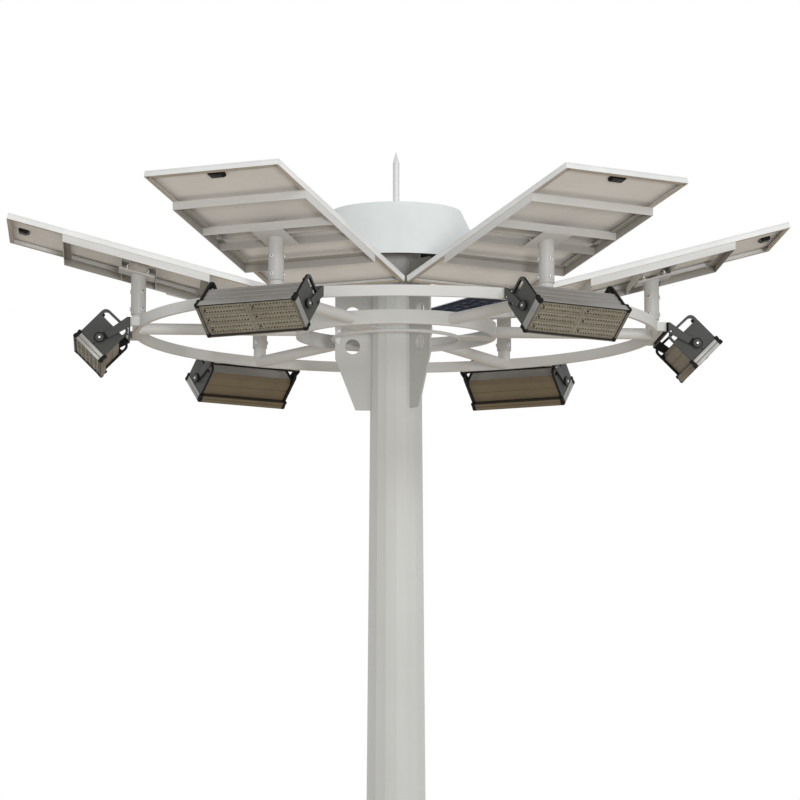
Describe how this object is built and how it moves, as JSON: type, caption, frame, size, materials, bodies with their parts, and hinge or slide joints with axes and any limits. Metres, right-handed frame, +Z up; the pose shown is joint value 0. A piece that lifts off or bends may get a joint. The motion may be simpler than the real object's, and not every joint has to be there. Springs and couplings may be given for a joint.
{
  "type": "solar mast light",
  "caption": "Tapered steel mast with a ring head that carries sloped solar panels over tilting LED floodlights, a conical drum and a lightning rod.",
  "frame": {"origin": "centre of the base flange's underside", "axes": "+Z up along the mast; arm 1 of the ring head points to +X"},
  "size_m": [4.4492, 4.2572, 10.043],
  "materials": {
    "white_paint": "satin",
    "drum_paint": "satin",
    "rod_steel": "satin",
    "panel_rim": "satin",
    "panel_glass": "gloss",
    "yoke_paint": "matte",
    "lamp_body": "satin",
    "lamp_rim": "satin"
  },
  "bodies": {
    "mast_head": {"base_flange": "white_paint", "mast_shaft": "white_paint", "access_cover": "white_paint", "hub_fins": "white_paint", "hub_ring": "white_paint", "arm_spider": "white_paint", "outer_ring": "white_paint", "drum_shell": "drum_paint", "lightning_rod": "rod_steel", "panel_support_1": "white_paint", "panel_support_2": "white_paint", "panel_support_3": "white_paint", "panel_support_4": "white_paint", "panel_support_5": "white_paint", "panel_support_6": "white_paint", "panel_frame_1": "panel_rim", "panel_frame_2": "panel_rim", "panel_frame_3": "panel_rim", "panel_frame_4": "panel_rim", "panel_frame_5": "panel_rim", "panel_frame_6": "panel_rim", "panel_laminate_1": "panel_glass", "panel_laminate_2": "panel_glass", "panel_laminate_3": "panel_glass", "panel_laminate_4": "panel_glass", "panel_laminate_5": "panel_glass", "panel_laminate_6": "panel_glass", "lamp_yoke_1": "yoke_paint", "lamp_yoke_2": "yoke_paint", "lamp_yoke_3": "yoke_paint", "lamp_yoke_4": "yoke_paint", "lamp_yoke_5": "yoke_paint", "lamp_yoke_6": "yoke_paint"},
    "floodlight_1": {"lamp_housing_1": "lamp_body", "lamp_front_1": "lamp_rim"},
    "floodlight_2": {"lamp_housing_2": "lamp_body", "lamp_front_2": "lamp_rim"},
    "floodlight_3": {"lamp_housing_3": "lamp_body", "lamp_front_3": "lamp_rim"},
    "floodlight_4": {"lamp_housing_4": "lamp_body", "lamp_front_4": "lamp_rim"},
    "floodlight_5": {"lamp_housing_5": "lamp_body", "lamp_front_5": "lamp_rim"},
    "floodlight_6": {"lamp_housing_6": "lamp_body", "lamp_front_6": "lamp_rim"}
  },
  "joints": [
    {"name": "lamp_tilt_1", "type": "hinge", "parent": "mast_head", "child": "floodlight_1", "pos_m": [1.697, 0, 8.903], "axis": [0, 1, 0], "range_deg": [-30, 30]},
    {"name": "lamp_tilt_2", "type": "hinge", "parent": "mast_head", "child": "floodlight_2", "pos_m": [0.8485, 1.46965, 8.903], "axis": [-0.866, 0.5, 0], "range_deg": [-30, 30]},
    {"name": "lamp_tilt_3", "type": "hinge", "parent": "mast_head", "child": "floodlight_3", "pos_m": [-0.8485, 1.46965, 8.903], "axis": [-0.866, -0.5, 0], "range_deg": [-30, 30]},
    {"name": "lamp_tilt_4", "type": "hinge", "parent": "mast_head", "child": "floodlight_4", "pos_m": [-1.697, 0, 8.903], "axis": [0, -1, 0], "range_deg": [-30, 30]},
    {"name": "lamp_tilt_5", "type": "hinge", "parent": "mast_head", "child": "floodlight_5", "pos_m": [-0.8485, -1.46965, 8.903], "axis": [0.866, -0.5, 0], "range_deg": [-30, 30]},
    {"name": "lamp_tilt_6", "type": "hinge", "parent": "mast_head", "child": "floodlight_6", "pos_m": [0.8485, -1.46965, 8.903], "axis": [0.866, 0.5, 0], "range_deg": [-30, 30]}
  ]
}
